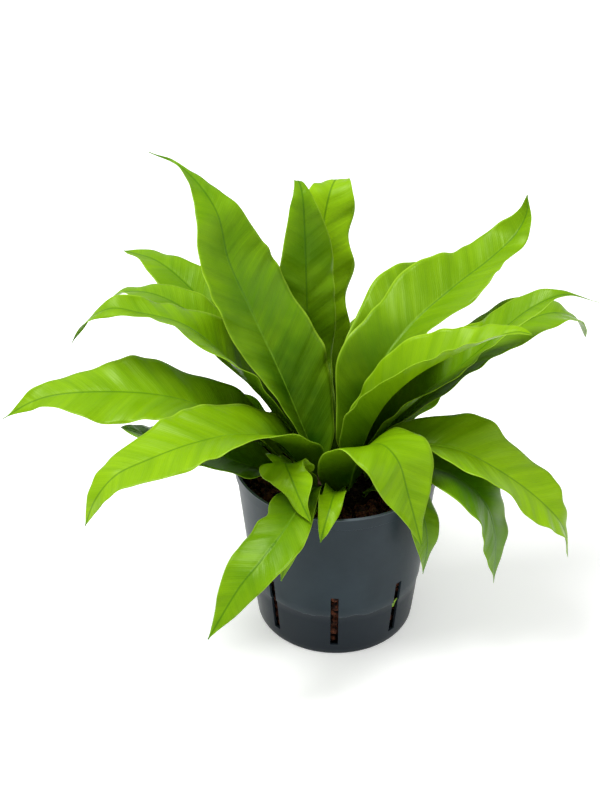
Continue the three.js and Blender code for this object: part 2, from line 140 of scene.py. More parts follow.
def piece_from(name, points, faces, material):
    """A smooth-shaded mesh object that rides on the root body and carries the given material."""
    mesh = bpy.data.meshes.new(name)
    mesh.from_pydata(np.asarray(points).tolist(), [], [list(face) for face in faces])
    mesh.polygons.foreach_set("use_smooth", np.full(len(mesh.polygons), True))
    mesh.materials.append(material)
    piece = bpy.data.objects.new(name, mesh)
    bpy.context.scene.collection.objects.link(piece)
    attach(piece, "root")
    return piece


def wall_radius(z):
    """The wall's outer radius at a height: a straight taper, less the step below its height."""
    taper = BASE_RADIUS + (RIM_RADIUS - BAND_OVERHANG - BASE_RADIUS) * z / POT_HEIGHT
    return taper - STEP_DEPTH * (z < STEP_HEIGHT + STEP_DEPTH / 2)


def pot_profile():
    """Radius and height of the pot's outer face from the middle of its underside to the rim."""
    band = POT_HEIGHT - BAND_HEIGHT
    half, full = UNDERSIDE_RECESS
    under = [(0.006, 0), (CENTRE_PAD, 0), (CENTRE_PAD + 0.001, half), (CENTRE_PAD + 0.002, full)]
    under += [(radius, full) for radius in np.linspace(FLOOR_SLOT["near"], FLOOR_SLOT["far"], 5)]
    under += [(FOOT_RING - 0.002, full), (FOOT_RING - 0.001, half), (FOOT_RING, 0)]
    under += [(wall_radius(0) - FOOT_ROUNDING, 0)]
    under += [(wall_radius(0) - 0.0005, 0.0004), (wall_radius(0), FOOT_ROUNDING)]
    low = [(wall_radius(z), z) for z in (0.005, WALL_SLOT["low"], 0.015, 0.022, 0.029, 0.0346)]
    middle = [(wall_radius(z), z) for z in (0.0358, 0.042, WALL_SLOT["high"], 0.058, 0.075, 0.094, band)]
    rim = [(wall_radius(z) + BAND_OVERHANG, z) for z in (band + BAND_OVERHANG, 0.1155, POT_HEIGHT)]
    return np.array(under + low + middle + rim)


def pot_shell(profile):
    """The outer face as a grid of profile points by angles, with the slots left open.
    Angles run in sixteen sectors, one for each slot of either kind. In a sector the middle columns keep the
    slot's half width at every radius, so its sides are parallel, and the others share the rest evenly."""
    sector = math.pi / SLOT_COUNT
    side, slot, _ = SECTOR_STEPS
    share = np.concatenate([np.linspace(-1, 0, side + 1)[:-1], np.linspace(0, 1, slot + 1)[:-1]])
    share = np.concatenate([share, np.linspace(1, 2, side + 1)[:-1]])
    radius = profile[:, 0][:, None, None]
    odd = (np.arange(2 * SLOT_COUNT) % 2)[None, :, None]
    half_width = np.where(odd, FLOOR_SLOT["width"], WALL_SLOT["width"]) / 2
    opening = np.minimum(np.arcsin(np.minimum(half_width / radius, 0.9)), 0.7 * sector / 2)
    outside = np.where(share < 0, share, np.maximum(share - 1, 0)) * (sector / 2 - opening)
    inside = (2 * np.clip(share, 0, 1) - 1) * opening
    middle = math.radians(SLOT_FRONT) + sector * np.arange(2 * SLOT_COUNT)[None, :, None]
    angle = (middle + outside + inside).reshape(len(profile), -1)
    x = profile[:, :1] * np.cos(angle)
    y = profile[:, :1] * np.sin(angle)
    z = np.repeat(profile[:, 1:], angle.shape[1], axis=1)
    points = np.stack([x, y, z], axis=2).reshape(-1, 3)
    rows, columns = angle.shape
    row, column = np.meshgrid(np.arange(rows - 1), np.arange(columns), indexing="ij")
    start = row * columns + column
    after = row * columns + (column + 1) % columns
    quads = np.stack([start, after, after + columns, start + columns], axis=2)
    in_slot = (column % (side + slot + side) >= side) & (column % (side + slot + side) < side + slot)
    odd_sector = (column // (side + slot + side)) % 2 == 1
    low, high = profile[row, 1], profile[row + 1, 1]
    near, far = profile[row, 0], profile[row + 1, 0]
    in_wall = (low >= WALL_SLOT["low"] - NARROW) & (high <= WALL_SLOT["high"] + NARROW)
    in_floor = (near >= FLOOR_SLOT["near"] - NARROW) & (far <= FLOOR_SLOT["far"] + NARROW)
    closed = ~(in_slot & ((in_wall & ~odd_sector) | (in_floor & odd_sector)))
    pole = len(points)
    points = np.vstack([points, [[0, 0, 0]]])
    fan = [(pole, (c + 1) % columns, c) for c in range(columns)]
    return points, quads[closed].tolist() + fan


def plug(tree, value, socket):
    """Links the value to a socket when it is an output, and otherwise sets the number or colour."""
    if isinstance(value, bpy.types.NodeSocket):
        tree.links.new(value, socket)
    else:
        socket.default_value = value


def object_place(tree):
    """The place on the object, in metres."""
    return tree.nodes.new("ShaderNodeTexCoord").outputs["Object"]


def split(tree, vector):
    """The X, Y and Z of a vector."""
    parts = tree.nodes.new("ShaderNodeSeparateXYZ")
    tree.links.new(vector, parts.inputs[0])
    return parts.outputs


def joined(tree, x, y):
    """The vector with this X and Y."""
    vector = tree.nodes.new("ShaderNodeCombineXYZ")
    plug(tree, x, vector.inputs["X"])
    plug(tree, y, vector.inputs["Y"])
    return vector.outputs[0]


def reckoned(tree, operation, *values):
    """The result of a Math node. Each value is a number or an output."""
    node = tree.nodes.new("ShaderNodeMath")
    node.operation = operation
    for socket, value in zip(node.inputs, values):
        plug(tree, value, socket)
    return node.outputs[0]


def noise_texture(tree, vector, scale, detail=3.0, roughness=0.5):
    """A noise texture read at vector."""
    noise = tree.nodes.new("ShaderNodeTexNoise")
    noise.inputs["Scale"].default_value = scale
    noise.inputs["Detail"].default_value = detail
    noise.inputs["Roughness"].default_value = roughness
    tree.links.new(vector, noise.inputs["Vector"])
    return noise.outputs["Fac"]


def spread(tree, value, low, high, out_low=0.0, out_high=1.0):
    """The value carried smoothly from one range to another."""
    span = tree.nodes.new("ShaderNodeMapRange")
    span.interpolation_type = "SMOOTHSTEP"
    for socket, number in zip(("From Min", "From Max", "To Min", "To Max"), (low, high, out_low, out_high)):
        span.inputs[socket].default_value = number
    tree.links.new(value, span.inputs["Value"])
    return span.outputs["Result"]


def blended(tree, factor, first, second):
    """Two colours mixed by a factor. Each of the three is a constant or an output."""
    mix = tree.nodes.new("ShaderNodeMix")
    mix.data_type = "RGBA"
    for socket, value in ((mix.inputs[0], factor), (mix.inputs[6], first), (mix.inputs[7], second)):
        plug(tree, value, socket)
    return mix.outputs[2]


def bumped(tree, height, distance, strength, normal=None):
    """A bump from a height, on top of another normal where one is given."""
    bump = tree.nodes.new("ShaderNodeBump")
    bump.inputs["Strength"].default_value = strength
    bump.inputs["Distance"].default_value = distance
    tree.links.new(height, bump.inputs["Height"])
    if normal is not None:
        tree.links.new(normal, bump.inputs["Normal"])
    return bump.outputs["Normal"]


def pot_plastic():
    """Slate-blue moulded plastic: a satin face, darker below the step, with a ragged paler line along the
    step, faint upright drag lines from the mould, fine grain, and a painted highlight along the top of the
    rim."""
    material, tree, shader = new_material("pot_plastic")
    shader.inputs["Specular IOR Level"].default_value = POT_SHINE
    place = object_place(tree)
    height = split(tree, place)["Z"]
    stretched = tree.nodes.new("ShaderNodeMapping")
    stretched.inputs["Scale"].default_value = (1, 1, DRAG_STRETCH)
    tree.links.new(place, stretched.inputs["Vector"])
    cloud = noise_texture(tree, place, 28, 4)
    drag = noise_texture(tree, stretched.outputs["Vector"], 420, 2)
    grain = noise_texture(tree, place, 2600, 2)
    drift = noise_texture(tree, place, 95, 4, 0.6)
    ragged = reckoned(tree, "ADD", height, spread(tree, drift, 0.3, 0.7, -STEP_LINE_DRIFT, STEP_LINE_DRIFT))
    below = spread(tree, ragged, STEP_HEIGHT - 0.0004, STEP_HEIGHT + 0.0006, 1, 0)
    # A ragged paler line runs round the pot along the step.
    step_line = reckoned(tree, "COMPARE", ragged, STEP_HEIGHT, STEP_LINE_HALF_WIDTH)
    wall = blended(tree, spread(tree, cloud, 0.3, 0.7), POT_DARK, POT_LIGHT)
    lower = blended(tree, step_line, blended(tree, below, wall, POT_LOW), POT_STEP_LINE)
    # The top of the rim is painted paler: a painted highlight along its edge.
    rim_highlight = spread(tree, height, POT_HEIGHT - 0.0009, POT_HEIGHT - 0.0001, 0, 0.55)
    tree.links.new(blended(tree, rim_highlight, lower, POT_RIM_HIGHLIGHT), shader.inputs["Base Color"])
    tree.links.new(spread(tree, cloud, 0.3, 0.7, *POT_ROUGHNESS), shader.inputs["Roughness"])
    fine = bumped(tree, grain, 0.00003, 0.5)
    tree.links.new(bumped(tree, drag, 0.00005, 0.4, fine), shader.inputs["Normal"])
    return material


POT_DARK = (0.015, 0.024, 0.030, 1)
POT_LIGHT = (0.022, 0.034, 0.042, 1)
POT_LOW = (0.013, 0.019, 0.025, 1)
POT_STEP_LINE = (0.048, 0.058, 0.066, 1)
POT_SHINE = 0.11
POT_ROUGHNESS = (0.30, 0.42)
DRAG_STRETCH = 0.06
STEP_LINE_DRIFT = 0.0015
STEP_LINE_HALF_WIDTH = 0.0003
# The colour of the painted highlight along the top of the rim.
POT_RIM_HIGHLIGHT = (0.12, 0.145, 0.165, 1)

pot_points, pot_faces = pot_shell(pot_profile())
pot = piece_from("pot_shell", pot_points, pot_faces, pot_plastic())
wall = pot.modifiers.new("wall", "SOLIDIFY")
wall.thickness = POT_WALL
wall.offset = -1
wall.use_even_offset = True
rounding = pot.modifiers.new("rounded_edges", "BEVEL")
rounding.width = 0.0003
rounding.segments = 2
rounding.limit_method = "ANGLE"
rounding.angle_limit = math.radians(40)
rounding.harden_normals = True
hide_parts("pot")

# The filling is expanded clay: fired granules 7 to 11 mm across, rough and red-brown, darker where they are
# damp. They lie loose on top, and more of them show behind the slots. A dark bed fills the rest.
CLAY_TOP = 0.1005
GRANULE_SIZE = 0.0092
CROWN_RADIUS = 0.027
BED_GAP = 0.0055
GRANULE_RINGS = (0.0326, 0.0394, 0.0463, 0.0532)
LAYER_DROP = 0.0045
SLOT_GRANULE_STEP = 0.0078
SLOT_GRANULE_TURN = 0.165
SLOT_GRANULE_DEPTH = 0.0054
BED_EDGE_GAP = 0.0008
BED_FLOOR = 0.0034
BED_SHOULDER = (0.056, 0.062)
BED_TOP = CLAY_TOP - 0.006

draw = np.random.default_rng(11)


def ball():
    """A ball of eighty faces: an icosahedron whose triangles are each cut in four."""
    golden = (1 + 5**0.5) / 2
    corners = [(a, b * golden, 0) for a in (-1, 1) for b in (-1, 1)]
    corners = np.array(corners + [(0, a, b) for a, b, _ in corners] + [(b, 0, a) for a, b, _ in corners])
    gaps = np.linalg.norm(corners[:, None] - corners[None], axis=2)
    near = gaps < 2.1
    faces = []
    for a in range(12):
        for b in range(a + 1, 12):
            for c in range(b + 1, 12):
                if near[a, b] and near[b, c] and near[a, c]:
                    outward = np.dot(np.cross(corners[b] - corners[a], corners[c] - corners[a]), corners[a])
                    faces.append((a, b, c) if outward > 0 else (a, c, b))
    points = [tuple(corner) for corner in corners]
    middles = {}

    def middle(a, b):
        key = (min(a, b), max(a, b))
        if key not in middles:
            middles[key] = len(points)
            points.append(tuple((corners[a] + corners[b]) / 2))
        return middles[key]

    small = []
    for a, b, c in faces:
        ab, bc, ca = middle(a, b), middle(b, c), middle(c, a)
        small += [(a, ab, ca), (ab, b, bc), (ca, bc, c), (ab, bc, ca)]
    points = np.array(points)
    return points / np.linalg.norm(points, axis=1)[:, None], np.array(small)


def granules(places, sizes):
    """Lumpy granules: the ball pushed in and out by three sine waves in drawn directions, squashed a little,
    and set at each place. All are joined in one list of points and faces."""
    unit, faces = ball()
    count = len(places)
    directions = draw.normal(size=(count, 3, 3)) * 2.1
    phases = draw.uniform(0, 2 * math.pi, size=(count, 3))
    waves = np.sin(np.einsum("nkd,vd->nkv", directions, unit) + phases[:, :, None]).sum(axis=1)
    reach = 1 + 0.085 * waves
    squash = draw.uniform(0.78, 1.0, size=(count, 1, 3))
    points = unit[None] * reach[:, :, None] * squash * (sizes / 2)[:, None, None] + places[:, None, :]
    numbered = faces[None] + (np.arange(count) * len(unit))[:, None, None]
    return points.reshape(-1, 3), numbered.reshape(-1, 3)


def granule_places():
    """Granules on top, on rings round the crown in two layers, and upright rows of them behind the slots."""
    places = []
    for layer in (0, 1):
        for radius in GRANULE_RINGS:
            count = round(2 * math.pi * radius / (1.04 * GRANULE_SIZE))
            angle = (np.arange(count) + 0.5 * layer + draw.uniform(0, 0.5, count)) * 2 * math.pi / count
            ring = radius + draw.uniform(-0.0014, 0.0014, count)
            height = CLAY_TOP - LAYER_DROP * layer + draw.uniform(-0.0016, 0.0016, count)
            places.append(np.stack([ring * np.cos(angle), ring * np.sin(angle), height], axis=1))
    rows = np.arange(0.0095, WALL_SLOT["high"] + 0.004, SLOT_GRANULE_STEP)
    for slot in range(SLOT_COUNT):
        for column in (-1, 0, 1):
            height = rows + 0.5 * SLOT_GRANULE_STEP * (column != 0) + draw.uniform(-0.0012, 0.0012, len(rows))
            turn = math.radians(SLOT_FRONT + 360 / SLOT_COUNT * slot) + SLOT_GRANULE_TURN * column
            angle = turn + draw.uniform(-0.03, 0.03, len(rows))
            radius = wall_radius(height) - POT_WALL - SLOT_GRANULE_DEPTH - draw.uniform(0, 0.0012, len(rows))
            places.append(np.stack([radius * np.cos(angle), radius * np.sin(angle), height], axis=1))
    return np.vstack(places)


def lathed(profile, sides):
    """A closed body turned round the upright axis, from [radius, height] points up its outside. The first
    and the last point lie on the axis and become poles."""
    profile = np.array(profile)
    angle = np.linspace(0, 2 * math.pi, sides, endpoint=False)
    rings = profile[1:-1]
    x = rings[:, :1] * np.cos(angle)
    y = rings[:, :1] * np.sin(angle)
    z = np.repeat(rings[:, 1:], sides, axis=1)
    poles = [[0, 0, profile[0, 1]], [0, 0, profile[-1, 1]]]
    points = np.vstack([np.stack([x, y, z], axis=2).reshape(-1, 3), poles])
    row, column = np.meshgrid(np.arange(len(rings) - 1), np.arange(sides), indexing="ij")
    start = row * sides + column
    after = row * sides + (column + 1) % sides
    faces = np.stack([start, after, after + sides, start + sides], axis=2).reshape(-1, 4).tolist()
    low, high, last = len(rings) * sides, len(rings) * sides + 1, (len(rings) - 1) * sides
    faces += [(low, (c + 1) % sides, c) for c in range(sides)]
    faces += [(high, last + c, last + (c + 1) % sides) for c in range(sides)]
    return points, faces


def clay_finish():
    """Fired clay: red-brown with darker damp patches and a rough pitted skin."""
    material, tree, shader = new_material("fired_clay")
    shader.inputs["Specular IOR Level"].default_value = 0.2
    shader.inputs["Roughness"].default_value = 0.85
    place = object_place(tree)
    patch = noise_texture(tree, place, 230, 4, 0.6)
    pits = noise_texture(tree, place, 900, 4, 0.7)
    colour = blended(tree, spread(tree, patch, 0.42, 0.60), CLAY_DAMP, CLAY_FIRED)
    speck = spread(tree, pits, 0.58, 0.72, 0, 0.5)
    tree.links.new(blended(tree, speck, colour, CLAY_PALE), shader.inputs["Base Color"])
    tree.links.new(bumped(tree, pits, 0.0006, 0.9), shader.inputs["Normal"])
    return material


CLAY_DAMP = (0.010, 0.004, 0.003, 1)
CLAY_FIRED = (0.150, 0.047, 0.022, 1)
CLAY_PALE = (0.36, 0.15, 0.08, 1)

granule_centres = granule_places()
granule_sizes = GRANULE_SIZE * draw.uniform(0.8, 1.12, len(granule_centres))
clay_points, clay_faces = granules(granule_centres, granule_sizes)
bed_profile = [(0, BED_FLOOR), (wall_radius(0) - POT_WALL - BED_GAP, BED_FLOOR)]
bed_profile += [(wall_radius(BED_SHOULDER[0]) - POT_WALL - BED_GAP, BED_SHOULDER[0])]
for z in (BED_SHOULDER[1], CLAY_TOP - 0.008):
    bed_profile.append((wall_radius(z) - POT_WALL - BED_EDGE_GAP, z))
bed_profile += [(0.024, BED_TOP), (0, BED_TOP)]
bed_points, bed_faces = lathed(bed_profile, 96)
bed_faces = [[corner + len(clay_points) for corner in face] for face in bed_faces]
clay_points = np.vstack([clay_points, bed_points])
clay = piece_from("clay_filling", clay_points, clay_faces.tolist() + bed_faces, clay_finish())
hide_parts("clay_granules")

# A small green sprout has come up through the right-hand slot: a bent shoot with two folded leaflets.
SPROUT_TURN = SLOT_FRONT + 360 / SLOT_COUNT
SPROUT_HEIGHT = 0.029
SPROUT_LENGTH = 0.0075
SPROUT_WIDTH = 0.0022
SPROUT_COLOUR = (0.33, 0.52, 0.03, 1)
SPROUT_DARK = (0.10, 0.24, 0.01, 1)


def sprout_points(rows, columns):
    """A leaflet that leans out of the slot as it rises: a lens-shaped strip, folded along its middle, with a
    second leaflet behind it turned the other way."""
    t = np.linspace(0, 1, rows)[:, None]
    u = np.linspace(-1, 1, columns)[None, :]
    half = SPROUT_WIDTH / 2 * np.sin(math.pi * (0.08 + 0.88 * t) ** 0.8)
    leaflets = []
    for side, size in ((1, 1.0), (-1, 0.7)):
        out = 0.0022 * t * t + 0.0006 * np.abs(u) - 0.0012
        across = side * (0.0003 + 0.0012 * t * t) + half * u
        up = size * SPROUT_LENGTH * t + 0 * u
        leaflets.append(np.stack([out + 0 * up, across + 0 * up, up], axis=2).reshape(-1, 3))
    points = np.vstack(leaflets)
    turn = math.radians(SPROUT_TURN)
    radius = wall_radius(SPROUT_HEIGHT) - POT_WALL / 2 + points[:, 0]
    x = radius * math.cos(turn) - points[:, 1] * math.sin(turn)
    y = radius * math.sin(turn) + points[:, 1] * math.cos(turn)
    row, column = np.meshgrid(np.arange(rows - 1), np.arange(columns - 1), indexing="ij")
    start = (row * columns + column).reshape(-1, 1)
    quads = np.hstack([start, start + 1, start + columns + 1, start + columns])
    return np.stack([x, y, SPROUT_HEIGHT + points[:, 2]], axis=1), np.vstack([quads, quads + rows * columns])


def sprout_finish():
    """Tender leaf tissue: pale yellow-green with darker streaks along it."""
    material, tree, shader = new_material("sprout_leaf")
    shader.inputs["Roughness"].default_value = 0.5
    streak = noise_texture(tree, object_place(tree), 900, 3)
    colour = blended(tree, spread(tree, streak, 0.35, 0.65), SPROUT_COLOUR, SPROUT_DARK)
    tree.links.new(colour, shader.inputs["Base Color"])
    return material


sprout_grid, sprout_faces = sprout_points(12, 7)
sprout = piece_from("slot_sprout", sprout_grid, sprout_faces.tolist(), sprout_finish())
thick = sprout.modifiers.new("leaf_thickness", "SOLIDIFY")
thick.thickness = 0.0003

# The crown is the fern's short stem: a low dark dome wrapped in papery brown scales, from which every stalk
# rises. It sits in the clay and is grown, not fixed.
CROWN_FOOT = 0.090
CROWN_TOP = 0.112
CROWN_SHOULDER = 0.104
SCALE_COUNT = 420
SCALE_LENGTH = 0.009
SCALE_WIDTH = 0.0022


def crown_scales(count):
    """Narrow pointed scales on the dome, each five points of a leaf shape bent up at its tip. Their feet are
    spread evenly by the golden angle, and they point outwards and up with a drawn tilt."""
    share = (np.arange(count) + 0.5) / count
    angle = np.arange(count) * math.pi * (3 - 5**0.5)
    ring = CROWN_RADIUS * np.sqrt(share)
    height = CROWN_TOP - 0.001 - (CROWN_TOP - CROWN_SHOULDER) * share**1.6
    turn = angle + draw.uniform(-0.5, 0.5, count)
    tilt = draw.uniform(0.25, 0.9, count)
    out = np.stack([np.cos(turn) * np.cos(tilt), np.sin(turn) * np.cos(tilt), np.sin(tilt)], axis=1)
    side = np.stack([-np.sin(turn), np.cos(turn), np.zeros(count)], axis=1)
    lift = np.cross(out, side)
    size = draw.uniform(0.6, 1.15, count)[:, None, None]
    shape = np.array([[-0.1, 0, 0], [0.35, 1, 0.05], [0.35, -1, 0.05], [0.75, 0, 0.12], [1, 0, 0.02]])
    foot = np.stack([ring * np.cos(angle), ring * np.sin(angle), height], axis=1)
    along = shape[:, 0][None, :, None] * out[:, None] * SCALE_LENGTH
    across = shape[:, 1][None, :, None] * side[:, None] * SCALE_WIDTH / 2
    rise = shape[:, 2][None, :, None] * lift[:, None] * SCALE_LENGTH
    points = foot[:, None] + size * (along + across - rise)
    faces = np.array([[0, 2, 3], [0, 3, 1], [1, 3, 4], [2, 4, 3]])
    return points.reshape(-1, 3), (faces[None] + 5 * np.arange(count)[:, None, None]).reshape(-1, 3)


def crown_finish():
    """Dead papery scales: near black, with patches of dark brown and a fibrous skin."""
    material, tree, shader = new_material("crown_scales")
    shader.inputs["Specular IOR Level"].default_value = 0.15
    shader.inputs["Roughness"].default_value = 0.75
    place = object_place(tree)
    patch = noise_texture(tree, place, 420, 3)
    fibre = noise_texture(tree, place, 1500, 3)
    colour = blended(tree, spread(tree, patch, 0.35, 0.7), CROWN_DARK, CROWN_BROWN)
    tree.links.new(colour, shader.inputs["Base Color"])
    tree.links.new(bumped(tree, fibre, 0.0004, 0.7), shader.inputs["Normal"])
    return material


CROWN_DARK = (0.006, 0.004, 0.002, 1)
CROWN_BROWN = (0.045, 0.022, 0.010, 1)

dome = [(0, CROWN_FOOT), (CROWN_RADIUS - 0.002, CROWN_FOOT), (CROWN_RADIUS, CROWN_FOOT + 0.003)]
dome += [(CROWN_RADIUS, CROWN_SHOULDER), (0.8 * CROWN_RADIUS, 0.1084)]
dome += [(0.45 * CROWN_RADIUS, 0.1112), (0, CROWN_TOP)]
dome_points, dome_faces = lathed(dome, 64)
scale_points, scale_faces = crown_scales(SCALE_COUNT)
crown_faces = dome_faces + (scale_faces + len(dome_points)).tolist()
crown_points = np.vstack([dome_points, scale_points])
crown = piece_from("scaly_crown", crown_points, crown_faces, crown_finish())
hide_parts("crown")

# The fronds are undivided leathery straps, glossy and waved at the margin. Past the stalk a blade is half a
# millimetre thick at its middle and thinner at its margins, with a raised midrib and parallel side veins.
# In a row, root is azimuth and distance from the axis, and path is the midrib as distance out along the
# heading, height, and distance to its right. width is the widest measure, at belly of the length, with swell
# shaping either side of it, and the blade has left its stalk by start. gains widen the left and right half
# near the root. fold lifts both halves at root, middle and tip, and roll turns the blade from root to tip.
# waves are count, height and phase in turns, and scallop steps the margin in and out with them. tone runs
# from young yellow-green to old blue-green; besides a frond's age it holds painted shade and light, darker
# for fronds that lie deeper in shade and paler for a frond lit through from behind.
ROOT_HEIGHT = 0.098
STALK_HALF_WIDTH = 0.0022
STALK_THICKNESS = 0.0022
STALK_SHARE = 0.16
BLADE_THICKNESS = 0.0005
KEEL_DEPTH = 0.0007
KEEL_WIDTH = 0.0016
RIB_HEIGHT = 0.0004
RIB_WIDTH = 0.0006
GROOVE_DEPTH = 0.0003
GROOVE_WIDTH = 0.0022
TIP_HALF_WIDTH = 0.0004
STEEPEST_FOLD = 0.6
FOLD_SOFTNESS = 0.003
WAVE_START = 0.05
WAVE_FULL = 0.4
WAVE_END = 0.88
LEFT_WAVE_LEAD = 0.37
GAIN_FULL = 0.25
GAIN_END = 0.75
STATIONS = 150
COLUMNS = 41
PLEAT_LENGTH = 0.019
PLEAT_HEIGHT = 0.0012
PLEAT_SLANT = 0.8
PLEAT_DRIFT = 0.002
DRIFT_LENGTH = 0.011
PLEAT_BEAT = 0.067
PLEAT_FULL_WIDTH = 0.014
FLUTTER_LENGTH = 0.026
FLUTTER_HEIGHT = 0.0005

